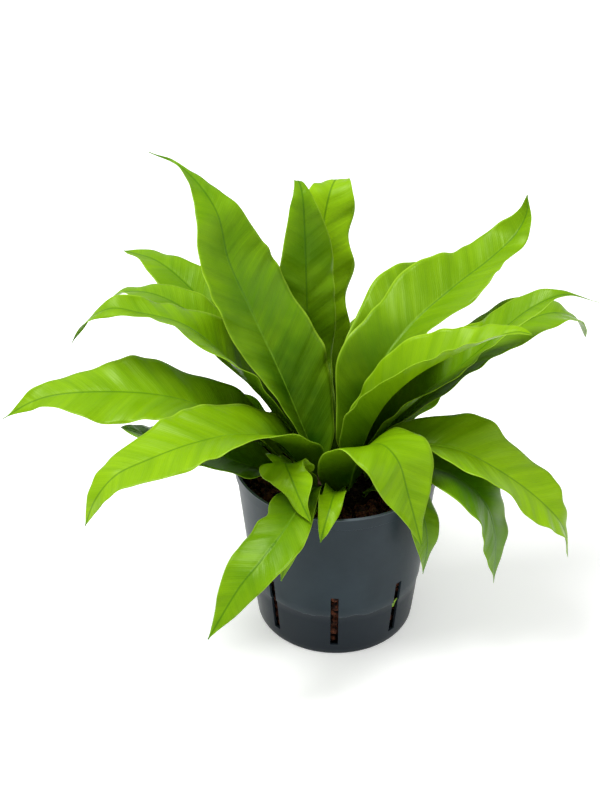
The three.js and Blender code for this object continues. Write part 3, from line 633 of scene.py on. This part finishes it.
FRONDS = [
    # The tall fronds in the middle.
    dict(name="tall_left", root=(229, 0.009), heading=138, width=0.054, belly=0.54, swell=(0.5, 2.6),
         start=0.14, gains=(0, 0.32), scallop=0.04, fold=(58, 14, 10), roll=(-8, 12),
         waves=(3.2, 0.0025, 0.1), tone=0.68,
         path=[(0.017, 0.13), (0.038, 0.172, -0.003), (0.061, 0.209, -0.005), (0.079, 0.236, -0.005),
               (0.092, 0.264, -0.002), (0.122, 0.281), (0.153, 0.282)]),
    dict(name="upright", root=(105, 0.006), heading=108, width=0.037, belly=0.62, swell=(0.6, 1.8),
         start=0.12, gains=(0, 0), scallop=0.04, fold=(50, 12, 5), roll=(0, 0),
         waves=(3.4, 0.002, 0.5), tone=0.72,
         path=[(0.012, 0.118), (0.038, 0.137), (0.054, 0.156), (0.06, 0.182), (0.063, 0.212),
               (0.067, 0.245), (0.072, 0.265), (0.081, 0.27), (0.091, 0.258)]),
    dict(name="upright_back", root=(80, 0.016), heading=96, width=0.04, belly=0.66, swell=(0.6, 0.9),
         start=0.12, gains=(0, 0), scallop=0.12, fold=(50, 10, 0), roll=(0, 0),
         waves=(5, 0.003, 0.9), tone=0.1,
         path=[(0.012, 0.116), (0.046, 0.14, -0.003), (0.062, 0.168, -0.007), (0.071, 0.202, -0.008),
               (0.077, 0.232, -0.006), (0.086, 0.252, -0.001), (0.099, 0.255, 0.004),
               (0.114, 0.242, 0.007)]),
    dict(name="tall_right", root=(35, 0.011), heading=40, width=0.054, belly=0.5, swell=(0.6, 0.9),
         start=0.12, gains=(0, 0), scallop=0.08, fold=(58, 28, 20), roll=(-12, 0),
         waves=(3.6, 0.003, 0.6), tone=0.42,
         path=[(0.009, 0.135), (0.022, 0.174), (0.046, 0.195), (0.082, 0.21), (0.114, 0.22),
               (0.134, 0.23), (0.142, 0.242), (0.141, 0.255)]),
    dict(name="right_back", root=(62, 0.019), heading=58, width=0.048, belly=0.6, swell=(0.7, 1.1),
         start=0.2, gains=(0, 0), scallop=0.06, fold=(60, 18, 10), roll=(-20, -12),
         waves=(3.3, 0.002, 0.3), tone=0.4,
         path=[(0.008, 0.126), (0.019, 0.161, 0.002), (0.04, 0.191, 0.005), (0.072, 0.206, 0.007),
               (0.104, 0.198, 0.007)]),
    # The left side, from back to front.
    dict(name="left_high", root=(128, 0.017), heading=142, width=0.042, belly=0.55, swell=(0.8, 0.9),
         start=0.3, gains=(0, 0), scallop=0.08, fold=(60, 18, 10), roll=(16, 0),
         waves=(3.2, 0.002, 0.0), tone=0.55,
         path=[(0.016, 0.119), (0.044, 0.146), (0.078, 0.173), (0.11, 0.194), (0.137, 0.203),
               (0.168, 0.2)]),
    dict(name="left_thin", root=(148, 0.021), heading=158, width=0.032, belly=0.6, swell=(0.8, 1.1),
         start=0.3, gains=(0, 0), scallop=0.04, fold=(60, 18, 10), roll=(0, 0),
         waves=(3, 0.0015, 0.2), tone=0.5,
         path=[(0.016, 0.13), (0.044, 0.169), (0.078, 0.197), (0.104, 0.206), (0.126, 0.203),
               (0.142, 0.191)]),
    dict(name="left_arched", root=(164, 0.02), heading=177, width=0.04, belly=0.52, swell=(0.8, 1.8),
         start=0.3, gains=(0.35, 0), scallop=0.06, fold=(60, 20, 10), roll=(-12, 0),
         waves=(3.6, 0.003, 0.4), tone=0.5,
         path=[(0.009, 0.123), (0.022, 0.151), (0.041, 0.177), (0.053, 0.192), (0.075, 0.21),
               (0.102, 0.217), (0.118, 0.219), (0.132, 0.211), (0.146, 0.19)]),
    dict(name="left_broad", root=(178, 0.022), heading=187, width=0.054, belly=0.58, swell=(0.8, 1.5),
         start=0.3, gains=(0, 0), scallop=0.07, fold=(55, 8, 5), roll=(4, 16),
         waves=(3.4, 0.003, 0.1), tone=0.35,
         path=[(0.014, 0.118), (0.036, 0.144), (0.065, 0.163), (0.091, 0.172), (0.128, 0.176),
               (0.15, 0.175), (0.164, 0.171), (0.182, 0.16)]),
    dict(name="left_front", root=(225, 0.021), heading=210, width=0.054, belly=0.48, swell=(0.7, 1),
         start=0.2, gains=(0.1, 0.08), scallop=0.04, fold=(60, 14, 0), roll=(-18, 10),
         waves=(2.6, 0.0015, 0.7), tone=0.18,
         path=[(0.009, 0.128), (0.026, 0.152), (0.048, 0.164), (0.08, 0.168), (0.11, 0.166),
               (0.13, 0.162), (0.143, 0.15), (0.151, 0.133)]),
    dict(name="left_under", root=(202, 0.022), heading=194, width=0.048, belly=0.55, swell=(0.8, 0.8),
         start=0.3, gains=(0, 0), scallop=0.04, fold=(50, 10, 0), roll=(0, 0),
         waves=(2.8, 0.002, 0.3), tone=0.75,
         path=[(0.012, 0.112), (0.04, 0.127), (0.066, 0.141), (0.092, 0.154), (0.112, 0.165)]),
    # The low fronds at the front, from left to right.
    dict(name="front_left", root=(250, 0.019), heading=248, width=0.035, belly=0.52, swell=(1.6, 1.1),
         start=0.3, gains=(-0.2, 0), scallop=0.06, fold=(45, 8, 5), roll=(0, 0),
         waves=(2.6, 0.002, 0.2), tone=0.58,
         path=[(0.01, 0.115), (0.02, 0.122), (0.046, 0.125, -0.001), (0.068, 0.122, 0),
               (0.088, 0.114, 0.005), (0.1, 0.103, 0.012), (0.12, 0.074, 0.024)]),
    dict(name="front_left_low", root=(256, 0.023), heading=250, width=0.015, belly=0.6, swell=(0.8, 1.1),
         start=0.3, gains=(0, 0), scallop=0.04, fold=(40, 5, 5), roll=(0, 0),
         waves=(2, 0.001, 0.2), tone=0.3,
         path=[(0.005, 0.105), (0.02, 0.114), (0.043, 0.1215), (0.056, 0.111, 0.002),
               (0.062, 0.084, 0.006)]),
    dict(name="lobed", root=(233, 0.024), heading=235, width=0.028, belly=0.55, swell=(0.8, 1.1),
         start=0.3, gains=(0, 0), scallop=0.25, fold=(45, 12, 5), roll=(0, 0),
         waves=(3, 0.002, 0.2), tone=0.3,
         path=[(0.007, 0.117), (0.017, 0.135, 0.004), (0.027, 0.144, 0.001), (0.035, 0.143, -0.009),
               (0.042, 0.136, -0.021), (0.047, 0.127, -0.033)]),
    dict(name="front_curled", root=(272, 0.021), heading=265, width=0.016, belly=0.6, swell=(0.6, 1.1),
         start=0.12, gains=(0, 0), scallop=0.04, fold=(40, 20, 20), roll=(0, 0),
         waves=(3, 0.002, 0.2), tone=0.3,
         path=[(0.008, 0.114), (0.028, 0.126, 0), (0.043, 0.127, 0.001), (0.051, 0.121, 0.003),
               (0.054, 0.111, 0.005)]),
    dict(name="front_right", root=(290, 0.018), heading=-54, width=0.054, belly=0.46, swell=(0.6, 1.1),
         start=0.12, gains=(-0.3, 0.1), scallop=0.03, fold=(28, 8, 5), roll=(0, 0),
         waves=(2.4, 0.002, 0.1), tone=0.28,
         path=[(0.008, 0.13), (0.02, 0.152), (0.037, 0.1625), (0.051, 0.159), (0.061, 0.142),
               (0.076, 0.113)]),
    dict(name="right_drooping", root=(-50, 0.022), heading=-42, width=0.022, belly=0.6, swell=(0.8, 1.1),
         start=0.3, gains=(0, 0), scallop=0.04, fold=(45, 5, 0), roll=(0, 0),
         waves=(2, 0.0015, 0.4), tone=0.62,
         path=[(0.01, 0.112), (0.024, 0.12), (0.043, 0.125), (0.052, 0.113), (0.056, 0.095),
               (0.054, 0.07)]),
    dict(name="right_low", root=(-29, 0.022), heading=-27, width=0.042, belly=0.55, swell=(0.7, 1.1),
         start=0.2, gains=(0, 0), scallop=0.04, fold=(50, 12, 0), roll=(0, 0),
         waves=(2.8, 0.002, 0.5), tone=0.85,
         path=[(0.016, 0.119), (0.04, 0.134), (0.062, 0.133), (0.079, 0.121), (0.087, 0.1),
               (0.089, 0.062)]),
    dict(name="right_broad", root=(-18, 0.02), heading=-19, width=0.052, belly=0.55, swell=(0.6, 1.05),
         start=0.12, gains=(0, 0), scallop=0.06, fold=(58, 20, 0), roll=(0, 0),
         waves=(3.4, 0.003, 0.2), tone=0.02,
         path=[(0.012, 0.125), (0.031, 0.141), (0.055, 0.145), (0.081, 0.137), (0.109, 0.121),
               (0.126, 0.104), (0.131, 0.082)]),
    # The right side, from front to back.
    dict(name="right_pale", root=(-48, 0.01), heading=-10, width=0.044, belly=0.5, swell=(0.7, 0.8),
         start=0.24, gains=(0, 0), scallop=0.04, fold=(65, 50, 15), roll=(0, 0),
         waves=(2, 0.0015, 0.6), tone=0.15,
         path=[(0.006, 0.124), (0.014, 0.151), (0.025, 0.173), (0.042, 0.193), (0.061, 0.208),
               (0.084, 0.223), (0.098, 0.229), (0.107, 0.228)]),
    dict(name="right_long", root=(12, 0.013), heading=5, width=0.046, belly=0.5, swell=(0.8, 1.5),
         start=0.3, gains=(0, -0.15), scallop=0.04, fold=(60, 25, 10), roll=(0, 0),
         waves=(3.4, 0.0015, 0.1), tone=0.5,
         path=[(0.008, 0.124), (0.019, 0.142), (0.037, 0.161), (0.061, 0.183), (0.075, 0.197),
               (0.087, 0.21), (0.103, 0.224), (0.121, 0.232), (0.143, 0.226)]),
    dict(name="right_hooked", root=(24, 0.021), heading=19, width=0.048, belly=0.55, swell=(0.8, 0.75),
         start=0.3, gains=(0, 0), scallop=0.04, fold=(55, 22, 5), roll=(0, 0),
         waves=(3, 0.0015, 0.6), tone=0.4,
         path=[(0.016, 0.128), (0.041, 0.154), (0.061, 0.171), (0.087, 0.187), (0.107, 0.197),
               (0.123, 0.198), (0.138, 0.19), (0.145, 0.176)]),
    # The back, hidden from the front.
    dict(name="back_left", root=(118, 0.023), heading=128, width=0.034, belly=0.55, swell=(0.8, 1.1),
         start=0.3, gains=(0, 0), scallop=0.04, fold=(55, 15, 5), roll=(0, 0),
         waves=(3, 0.002, 0.3), tone=0.5,
         path=[(0.005, 0.107), (0.012, 0.112), (0.036, 0.129), (0.066, 0.148), (0.098, 0.146)]),
    dict(name="back", root=(102, 0.022), heading=108, width=0.032, belly=0.55, swell=(0.8, 1.1),
         start=0.3, gains=(0, 0), scallop=0.04, fold=(55, 15, 5), roll=(0, 0),
         waves=(3, 0.002, 0.8), tone=0.5,
         path=[(0.01, 0.11), (0.044, 0.124), (0.084, 0.142), (0.12, 0.138)]),
    dict(name="back_right", root=(82, 0.022), heading=80, width=0.034, belly=0.55, swell=(0.8, 1.1),
         start=0.3, gains=(0, 0), scallop=0.04, fold=(55, 15, 5), roll=(0, 0),
         waves=(3, 0.002, 0.1), tone=0.45,
         path=[(0.01, 0.112), (0.04, 0.128), (0.076, 0.15), (0.112, 0.148)]),
    dict(name="back_low_left", root=(157, 0.024), heading=152, width=0.032, belly=0.55, swell=(0.8, 1.1),
         start=0.3, gains=(0, 0), scallop=0.04, fold=(50, 10, 0), roll=(0, 0),
         waves=(3, 0.002, 0.5), tone=0.55,
         path=[(0.004, 0.105), (0.012, 0.112), (0.038, 0.126), (0.066, 0.136), (0.09, 0.13)]),
    dict(name="back_low_right", root=(42, 0.022), heading=42, width=0.036, belly=0.55, swell=(0.8, 1.1),
         start=0.3, gains=(0, 0), scallop=0.04, fold=(50, 10, 0), roll=(0, 0),
         waves=(3, 0.002, 0.9), tone=0.5,
         path=[(0.012, 0.114), (0.034, 0.132), (0.058, 0.142), (0.082, 0.136)]),
]


# Notches cut the right margin of two fronds into lobes. Each is a share of the length, the share it spans
# either way, and its depth as a share of the half width.
NOTCHES = {
    "lobed": [(0.36, 0.013, 0.45), (0.455, 0.014, 0.6), (0.56, 0.022, 0.55)],
    "front_left": [(0.46, 0.03, 0.16)],
}


def smoothstep(low, high, x):
    """0 below low, 1 above high, and a smooth rise between them."""
    share = np.clip((x - low) / (high - low), 0, 1)
    return share * share * (3 - 2 * share)


def midrib(frond, t):
    """Points and directions at shares t of the length of a centripetal Catmull-Rom curve through the root
    and the path, and the level direction to the right of the heading."""
    azimuth, distance = frond["root"]
    heading = math.radians(frond["heading"])
    out = np.array([math.cos(heading), math.sin(heading), 0])
    right = np.array([out[1], -out[0], 0])
    foot = distance * np.array([math.cos(math.radians(azimuth)), math.sin(math.radians(azimuth)), 0])
    path = np.array([(0, ROOT_HEIGHT, 0)] + [(*point, 0)[:3] for point in frond["path"]])
    knots = foot + path[:, :1] * out + path[:, 2:] * right + path[:, 1:2] * [0, 0, 1]
    knots = np.vstack([2 * knots[0] - knots[1], knots, 2 * knots[-1] - knots[-2]])
    steps = np.sqrt(np.linalg.norm(np.diff(knots, axis=0), axis=1))
    before, here, after, beyond = knots[:-3], knots[1:-2], knots[2:-1], knots[3:]
    a, b, c = steps[:-2, None], steps[1:-1, None], steps[2:, None]
    start = ((here - before) / a - (after - before) / (a + b) + (after - here) / b) * b
    end = ((after - here) / b - (beyond - here) / (b + c) + (beyond - after) / c) * b
    x = np.linspace(0, 1, 80, endpoint=False)[None, :, None]
    here, after, start, end = here[:, None], after[:, None], start[:, None], end[:, None]
    cubic = (2 * here - 2 * after + start + end) * x**3 + (3 * after - 3 * here - 2 * start - end) * x**2
    line = np.vstack([(cubic + start * x + here).reshape(-1, 3), knots[-2]])
    length = np.concatenate([[0], np.cumsum(np.linalg.norm(np.diff(line, axis=0), axis=1))])
    direction = np.gradient(line, length, axis=0)
    at = np.stack([np.interp(t * length[-1], length, line[:, k]) for k in range(3)], axis=1)
    along = np.stack([np.interp(t * length[-1], length, direction[:, k]) for k in range(3)], axis=1)
    return at, along / np.linalg.norm(along, axis=1)[:, None], right, length[-1]


def half_width(frond, t):
    """A sine hump that peaks at the belly, on a stalk that narrows to nothing at the tip."""
    hump = np.sin(math.pi * t ** (math.log(0.5) / math.log(frond["belly"])))
    swell = np.where(t < frond["belly"], frond["swell"][0], frond["swell"][1])
    share = np.maximum(hump, 0) ** swell * smoothstep(0, frond["start"], t)
    stalk = STALK_HALF_WIDTH * (1 - t)
    return np.maximum(TIP_HALF_WIDTH, stalk + (frond["width"] / 2 - stalk) * share)


def along_length(values, t):
    """A parabola through the values at root, middle and tip."""
    root, middle, tip = values
    return root * (1 - t) * (1 - 2 * t) + middle * 4 * t * (1 - t) + tip * t * (2 * t - 1)


def blade_grid(frond, index):
    """The blade's middle surface, its normals and what the finish reads, on a grid of shares t along and u
    across. A section is a V folded at the midrib and turned by the roll. Its margins wave, slanted pleats run
    out from the midrib, and the outermost edge flutters."""
    t = np.linspace(0, 1, STATIONS)
    step = np.linspace(-1, 1, COLUMNS)
    u = (step * (0.35 + 0.65 * step * step))[None, :]
    at, along, right, length = midrib(frond, t)
    side = right - along * (along @ right)[:, None]
    side /= np.linalg.norm(side, axis=1)[:, None]
    up = np.cross(side, along)
    roll = np.radians(frond["roll"][0] + (frond["roll"][1] - frond["roll"][0]) * t)[:, None]
    rolled_side = side * np.cos(roll) + up * np.sin(roll)
    rolled_up = up * np.cos(roll) - side * np.sin(roll)
    half = bare = half_width(frond, t)[:, None]
    thickness = STALK_THICKNESS + (BLADE_THICKNESS - STALK_THICKNESS) * smoothstep(0, STALK_SHARE, t)[:, None]
    fold = np.radians(along_length(frond["fold"], t))[:, None]
    fold = np.minimum(fold, np.arctan(STEEPEST_FOLD * half / thickness))
    count, height, phase = frond["waves"]
    fade = (smoothstep(WAVE_START, WAVE_FULL, t) * (1 - smoothstep(WAVE_END, 1, t)))[:, None]
    near_root = (smoothstep(WAVE_START, GAIN_FULL, t) * (1 - smoothstep(GAIN_FULL, GAIN_END, t)))[:, None]
    turns = count * t[:, None] + phase + LEFT_WAVE_LEAD * (u < 0)
    rise = height * fade * u * u * np.sin(2 * math.pi * turns)
    half = half * (1 + near_root * np.where(u < 0, *frond["gains"]))
    half = half + bare * fade * frond["scallop"] * np.cos(2 * math.pi * turns)
    for place, reach, depth in NOTCHES.get(frond["name"], ()):
        half = half * (1 - depth * (u > 0) * np.exp(-(((t[:, None] - place) / reach) ** 2)))
    s = t[:, None] * length
    w = half * u
    diagonal = s - PLEAT_SLANT * np.abs(w) + PLEAT_DRIFT * np.sin(s / DRIFT_LENGTH + index)
    pleat = np.sin(2 * math.pi * diagonal / PLEAT_LENGTH + index + 2.1 * (u < 0))
    pleat *= 0.6 + 0.4 * np.sin(2 * math.pi * s / PLEAT_BEAT + 1.7 * index)
    broad = np.minimum(1, half / PLEAT_FULL_WIDTH)
    rise += PLEAT_HEIGHT * fade * np.abs(u) * (1 - 0.35 * np.abs(u)) * pleat * broad
    flutter = np.sin(2 * math.pi * s / FLUTTER_LENGTH + 2.3 * index + 1.3 * (u < 0))
    rise += FLUTTER_HEIGHT * fade * u**4 * flutter
    spread_out = np.sqrt(u * u + FOLD_SOFTNESS) - FOLD_SOFTNESS**0.5
    across = (w * np.cos(fold))[:, :, None] * rolled_side[:, None]
    lift = (half * spread_out * np.sin(fold) + rise)[:, :, None] * rolled_up[:, None]
    middle = at[:, None] + across + lift
    normal = np.cross(np.gradient(middle, axis=1), np.gradient(middle, axis=0))
    normal /= np.linalg.norm(normal, axis=2)[:, :, None]
    return middle, normal, thickness * (1 - 0.4 * u * u), w, s + 0 * u, u + 0 * s, t[:, None] + 0 * u


def blade_faces(rows, columns):
    """Quads of the upper grid, of the lower grid turned over, and of the strip that joins them all round."""
    row, column = np.meshgrid(np.arange(rows - 1), np.arange(columns - 1), indexing="ij")
    start = row * columns + column
    upper = np.stack([start, start + 1, start + columns + 1, start + columns], axis=2).reshape(-1, 4)
    lower = upper[:, ::-1] + rows * columns
    left = np.arange(rows) * columns
    right = left + columns - 1
    tip = (rows - 1) * columns + np.arange(columns)
    edge = np.concatenate([left[::-1], np.arange(1, columns), right[1:], tip[-2:0:-1]])
    after = np.roll(edge, -1)
    joint = np.stack([after, edge, edge + rows * columns, after + rows * columns], axis=1)
    return np.vstack([upper, lower, joint])


def vein_group():
    """The side veins: parallel lines that leave the midrib at a slant on either side. Across and Along are
    metres on the blade. Vein is 1 on a vein, Band differs from one run of veins to the next, and Swell is the
    slower rise and fall of the tissue between them."""
    group = bpy.data.node_groups.new("side_veins", "ShaderNodeTree")
    for name in ("Across", "Along"):
        group.interface.new_socket(name=name, in_out="INPUT", socket_type="NodeSocketFloat")
    for name in ("Vein", "Band", "Swell"):
        group.interface.new_socket(name=name, in_out="OUTPUT", socket_type="NodeSocketFloat")
    given = group.nodes.new("NodeGroupInput").outputs
    result = group.nodes.new("NodeGroupOutput").inputs
    aside = reckoned(group, "ABSOLUTE", given["Across"])
    slanted = reckoned(group, "SUBTRACT", given["Along"], reckoned(group, "MULTIPLY", aside, VEIN_SLANT))
    place = joined(group, given["Across"], given["Along"])
    wobble = reckoned(group, "MULTIPLY", noise_texture(group, place, 60, 2), VEIN_WOBBLE)
    line = reckoned(group, "DIVIDE", reckoned(group, "ADD", slanted, wobble), VEIN_SPACING)
    wave = reckoned(group, "COSINE", reckoned(group, "MULTIPLY", line, 2 * math.pi))
    group.links.new(spread(group, wave, 0.55, 1.0), result["Vein"])
    bands = joined(group, reckoned(group, "MULTIPLY", given["Across"], BAND_STRETCH), slanted)
    group.links.new(noise_texture(group, bands, 260, 3, 0.6), result["Band"])
    group.links.new(noise_texture(group, bands, 85, 2, 0.5), result["Swell"])
    return group


VEIN_SPACING = 0.0016
VEIN_SLANT = 0.8
VEIN_WOBBLE = 0.004
BAND_STRETCH = 0.12

SIDE_VEINS = vein_group()


def frond_skin():
    """A living frond: yellow-green to blue-green by tone, which also holds painted shade, darker towards the
    stalk partly as painted shade, paler at the margin, with fine side veins, painted shade along the swells
    and bands of the tissue, a midrib that turns from pale at the root to a painted shadow in its groove
    towards the tip, and light through it."""
    material, tree, shader = new_material("frond_skin")
    shader.inputs["Specular IOR Level"].default_value = LEAF_SHINE
    shader.inputs["Specular Tint"].default_value = LEAF_SHEEN
    layers = []
    for name in ("measures", "shares"):
        layer = tree.nodes.new("ShaderNodeUVMap")
        layer.uv_map = name
        layers.append(split(tree, layer.outputs[0]))
    on_blade, in_share = layers
    outness = reckoned(tree, "ABSOLUTE", in_share["X"])
    along = in_share["Y"]
    tone = tree.nodes.new("ShaderNodeAttribute")
    tone.attribute_name = "tone"
    veins = tree.nodes.new("ShaderNodeGroup")
    veins.node_tree = SIDE_VEINS
    tree.links.new(on_blade["X"], veins.inputs["Across"])
    tree.links.new(on_blade["Y"], veins.inputs["Along"])
    vein, band, swell = (veins.outputs[name] for name in ("Vein", "Band", "Swell"))
    place = object_place(tree)
    cloud = noise_texture(tree, place, 34, 3)
    grain = noise_texture(tree, place, 1400, 3)
    # The tone mixes young and old green, and also carries the painted shade and light set for each frond.
    leaf = blended(tree, tone.outputs["Fac"], LEAF_YOUNG, LEAF_OLD_AND_SHADE)
    # Towards the stalk the leaf darkens to its deep base green, made darker still as painted shade in the
    # crowded centre of the rosette.
    leaf = blended(tree, spread(tree, along, 0.12, 0.68, 0.97, 0), leaf, LEAF_DEEP_AND_SHADE)
    leaf = blended(tree, spread(tree, cloud, 0.35, 0.7, 0, 0.3), leaf, LEAF_YOUNG)
    # The swell of the tissue also darkens the colour: painted shade along the slanted pleats.
    leaf = blended(tree, spread(tree, swell, 0.4, 0.7, 0, 0.20), leaf, LEAF_OLD_AND_SHADE)
    leaf = blended(tree, spread(tree, outness, 0.1, 1.0, 0, 0.22), leaf, LEAF_YOUNG)
    # The bands also darken the colour in slanted runs: painted shade of the swelling tissue.
    leaf = blended(tree, spread(tree, band, 0.35, 0.65, 0, 0.14), leaf, LEAF_OLD_AND_SHADE)
    leaf = blended(tree, spread(tree, vein, 0, 1, 0, 0.08), leaf, LEAF_DEEP_AND_SHADE)
    # Further out along the frond the midrib is painted dark: a painted shadow in its groove.
    rib_colour = blended(tree, spread(tree, along, 0.3, 0.6), RIB_PALE, RIB_GROOVE_SHADOW)
    on_rib = spread(tree, reckoned(tree, "ABSOLUTE", on_blade["X"]), 0.0002, 0.0008, 0.6, 0)
    leaf = blended(tree, on_rib, leaf, rib_colour)
    leaf = blended(tree, spread(tree, outness, 0.95, 0.995, 0, 0.7), leaf, MARGIN_PALE)
    tree.links.new(leaf, shader.inputs["Base Color"])
    tree.links.new(spread(tree, cloud, 0.3, 0.7, *LEAF_ROUGHNESS), shader.inputs["Roughness"])
    ridges = bumped(tree, vein, 0.00006, 0.5)
    swollen = bumped(tree, band, 0.0007, 0.25, ridges)
    pleated = bumped(tree, swell, 0.003, 0.5, swollen)
    skin = bumped(tree, grain, 0.00006, 0.5, pleated)
    tree.links.new(skin, shader.inputs["Normal"])
    glow = tree.nodes.new("ShaderNodeBsdfTranslucent")
    tree.links.new(blended(tree, 0.5, leaf, LEAF_GLOW), glow.inputs["Color"])
    tree.links.new(skin, glow.inputs["Normal"])
    both = tree.nodes.new("ShaderNodeMixShader")
    both.inputs[0].default_value = LIGHT_THROUGH
    tree.links.new(shader.outputs[0], both.inputs[1])
    tree.links.new(glow.outputs[0], both.inputs[2])
    tree.links.new(both.outputs[0], tree.nodes["Material Output"].inputs["Surface"])
    return material


LEAF_YOUNG = (0.250, 0.450, 0.002, 1)
# The old blue-green also serves as the colour of the painted shade along the pleats and bands.
LEAF_OLD_AND_SHADE = (0.034, 0.140, 0.001, 1)
LEAF_DEEP_AND_SHADE = (0.008, 0.055, 0.0005, 1)
LEAF_GLOW = (0.40, 0.65, 0.005, 1)
LEAF_SHEEN = (0.85, 1.0, 0.5, 1)
LEAF_SHINE = 0.22
LEAF_ROUGHNESS = (0.29, 0.41)
LIGHT_THROUGH = 0.16
RIB_PALE = (0.20, 0.40, 0.02, 1)
RIB_GROOVE_SHADOW = (0.030, 0.12, 0.002, 1)
MARGIN_PALE = (0.33, 0.54, 0.03, 1)


def frond_piece(frond, index, material):
    """A frond: its upper face with the midrib raised in a shallow groove, its lower face with a keel."""
    middle, normal, thickness, w, s, u, t = blade_grid(frond, index)
    rib = RIB_HEIGHT * (1 - 0.8 * t) * np.exp(-((w / RIB_WIDTH) ** 2))
    rib -= GROOVE_DEPTH * np.exp(-((w / GROOVE_WIDTH) ** 2))
    rib *= smoothstep(0.05, 0.2, t)
    keel = KEEL_DEPTH * (1 - t) * np.exp(-((w / KEEL_WIDTH) ** 2))
    upper = middle + normal * (thickness / 2 + rib)[:, :, None]
    lower = middle - normal * (thickness / 2 + keel)[:, :, None]
    points = np.vstack([upper.reshape(-1, 3), lower.reshape(-1, 3)])
    faces = blade_faces(STATIONS, COLUMNS)
    piece = piece_from("blade_" + frond["name"], points, faces, material)
    mesh = piece.data
    corners = np.zeros(len(mesh.loops), dtype=np.int32)
    mesh.loops.foreach_get("vertex_index", corners)
    for name, first, second in (("measures", w, s), ("shares", u, t)):
        pair = np.stack([first, second], axis=2).reshape(-1, 2)
        layer = mesh.uv_layers.new(name=name)
        layer.data.foreach_set("uv", np.vstack([pair, pair])[corners].astype(np.float32).ravel())
    tone = mesh.attributes.new("tone", "FLOAT", "POINT")
    tone.data.foreach_set("value", np.full(len(points), frond["tone"], dtype=np.float32))
    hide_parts("frond_" + frond["name"])


skin = frond_skin()
for index, frond in enumerate(FRONDS):
    frond_piece(frond, index, skin)
